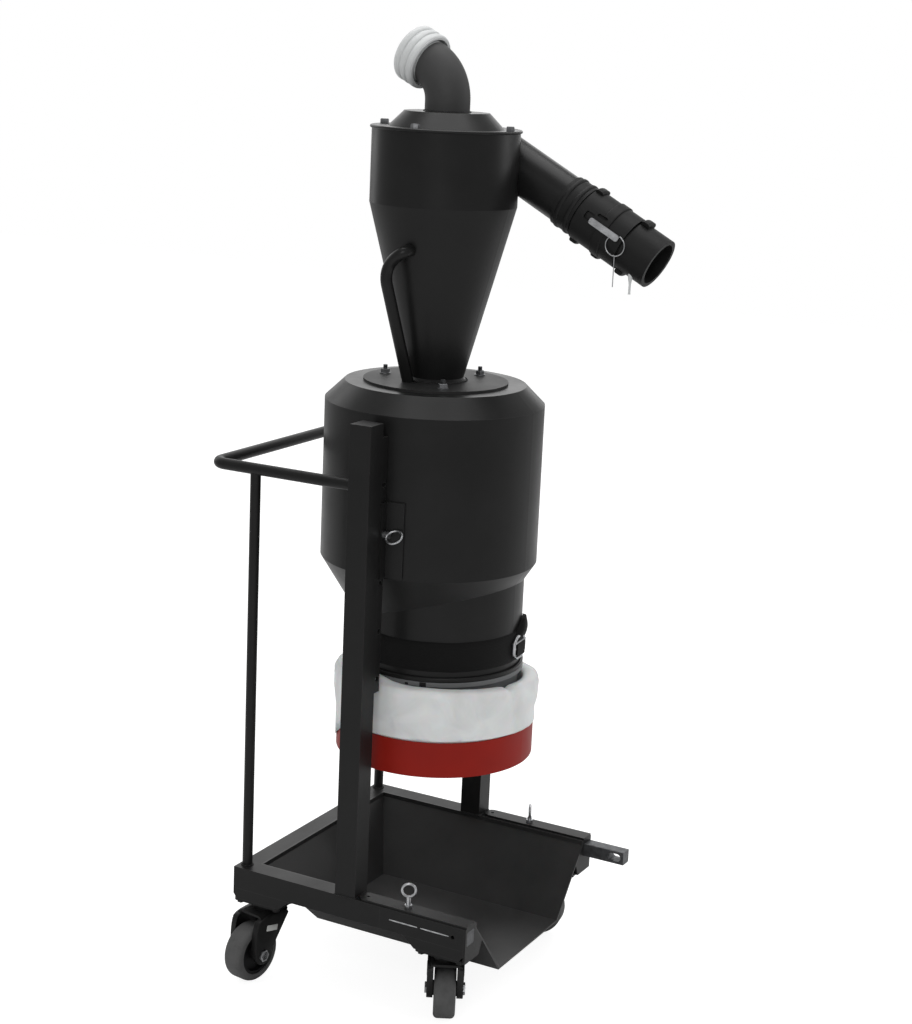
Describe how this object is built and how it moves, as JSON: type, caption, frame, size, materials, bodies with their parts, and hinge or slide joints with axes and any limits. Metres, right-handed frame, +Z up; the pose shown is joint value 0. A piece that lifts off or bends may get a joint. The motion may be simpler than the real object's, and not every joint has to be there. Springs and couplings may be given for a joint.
{
  "type": "cyclone dust pre-separator on a trolley",
  "caption": "Dust pre-separator on a caster trolley: cyclone over a settling drum, sloping inlet coupling, outlet elbow, film bag cassette, push handle and open tray with docking bars",
  "frame": {"origin": "centre of the whole part's box in plan, on the floor under the wheels", "axes": "+Z up; +X towards the tray's open front and the inlet; the push handle is at -X; -Y is the near side with the pushed-in docking bar"},
  "size_m": [0.6938, 0.6056, 1.6583],
  "materials": {
    "bag_film": "translucent white polyethylene film",
    "black_rubber": "black moulded rubber",
    "black_steel": "black coated pressed steel",
    "frame_paint": "satin black powder coat on tube and sheet",
    "grey_plastic": "grey moulded plastic",
    "grey_tyre": "grey non-marking rubber",
    "hub_plastic": "dark grey moulded plastic",
    "light_grey_cuff": "light grey moulded hose cuff",
    "red_plastic": "dark red moulded plastic",
    "satin_black_paint": "satin black powder coat",
    "webbing": "black woven webbing",
    "zinc_steel": "bright zinc plated steel"
  },
  "bodies": {
    "trolley": {"bar_guides": "frame_paint", "cassette_band": "red_plastic", "cassette_core": "grey_plastic", "caster_brackets": "frame_paint", "caster_plates": "black_steel", "cone_grip": "satin_black_paint", "coupling_body": "black_rubber", "coupling_latch": "zinc_steel", "coupling_ring": "zinc_steel", "cyclone_body": "satin_black_paint", "cyclone_lid": "satin_black_paint", "cyclone_plate": "satin_black_paint", "drum_saddles": "satin_black_paint", "drum_shell": "satin_black_paint", "drum_top": "satin_black_paint", "dust_bag": "bag_film", "end_plates": "frame_paint", "eye_screws": "zinc_steel", "guide_plates": "frame_paint", "handle_rods": "frame_paint", "hole_rails": "frame_paint", "inlet_mouth": "black_rubber", "inlet_pipe": "satin_black_paint", "inlet_sleeve": "black_rubber", "lid_bolts": "black_steel", "mouth_peg": "light_grey_cuff", "neck_lip": "satin_black_paint", "neck_strap": "webbing", "outlet_cuff": "light_grey_cuff", "outlet_elbow": "satin_black_paint", "plate_bolts": "zinc_steel", "posts": "frame_paint", "push_handle": "frame_paint", "rail_pins": "zinc_steel", "rear_beam": "frame_paint", "side_beams": "frame_paint", "strap_buckle": "zinc_steel", "tray": "frame_paint"},
    "near_rear_swivel": {"near_rear_fork": "black_steel"},
    "near_rear_wheel": {"near_rear_hub": "hub_plastic", "near_rear_tyre": "grey_tyre"},
    "near_front_swivel": {"near_front_fork": "black_steel"},
    "near_front_wheel": {"near_front_hub": "hub_plastic", "near_front_tyre": "grey_tyre"},
    "far_rear_swivel": {"far_rear_fork": "black_steel"},
    "far_rear_wheel": {"far_rear_hub": "hub_plastic", "far_rear_tyre": "grey_tyre"},
    "far_front_swivel": {"far_front_fork": "black_steel"},
    "far_front_wheel": {"far_front_hub": "hub_plastic", "far_front_tyre": "grey_tyre"},
    "near_docking_bar": {"near_bar": "zinc_steel"},
    "far_docking_bar": {"far_bar": "zinc_steel"}
  },
  "joints": [
    {"name": "near_rear_swivel_turn", "type": "hinge", "parent": "trolley", "child": "near_rear_swivel", "pos_m": [-0.21989, -0.216, 0.141], "axis": [0, 0, 1], "continuous": true},
    {"name": "near_rear_wheel_spin", "type": "hinge", "parent": "near_rear_swivel", "child": "near_rear_wheel", "pos_m": [-0.22537, -0.25057, 0.051], "axis": [-0.9877, 0.1564, 0], "continuous": true},
    {"name": "near_front_swivel_turn", "type": "hinge", "parent": "trolley", "child": "near_front_swivel", "pos_m": [0.14911, -0.216, 0.141], "axis": [0, 0, 1], "continuous": true},
    {"name": "near_front_wheel_spin", "type": "hinge", "parent": "near_front_swivel", "child": "near_front_wheel", "pos_m": [0.13268, -0.1851, 0.051], "axis": [0.8829, 0.4695, 0], "continuous": true},
    {"name": "far_rear_swivel_turn", "type": "hinge", "parent": "trolley", "child": "far_rear_swivel", "pos_m": [-0.21989, 0.216, 0.141], "axis": [0, 0, 1], "continuous": true},
    {"name": "far_rear_wheel_spin", "type": "hinge", "parent": "far_rear_swivel", "child": "far_rear_wheel", "pos_m": [-0.22537, 0.25057, 0.051], "axis": [0.9877, 0.1564, 0], "continuous": true},
    {"name": "far_front_swivel_turn", "type": "hinge", "parent": "trolley", "child": "far_front_swivel", "pos_m": [0.14911, 0.216, 0.141], "axis": [0, 0, 1], "continuous": true},
    {"name": "far_front_wheel_spin", "type": "hinge", "parent": "far_front_swivel", "child": "far_front_wheel", "pos_m": [0.11464, 0.20992, 0.051], "axis": [-0.1736, 0.9848, 0], "continuous": true},
    {"name": "near_bar_slide", "type": "slide", "parent": "trolley", "child": "near_docking_bar", "axis": [1, 0, 0], "range_m": [0, 0.13]},
    {"name": "far_bar_slide", "type": "slide", "parent": "trolley", "child": "far_docking_bar", "axis": [1, 0, 0], "range_m": [-0.08, 0.05]}
  ]
}
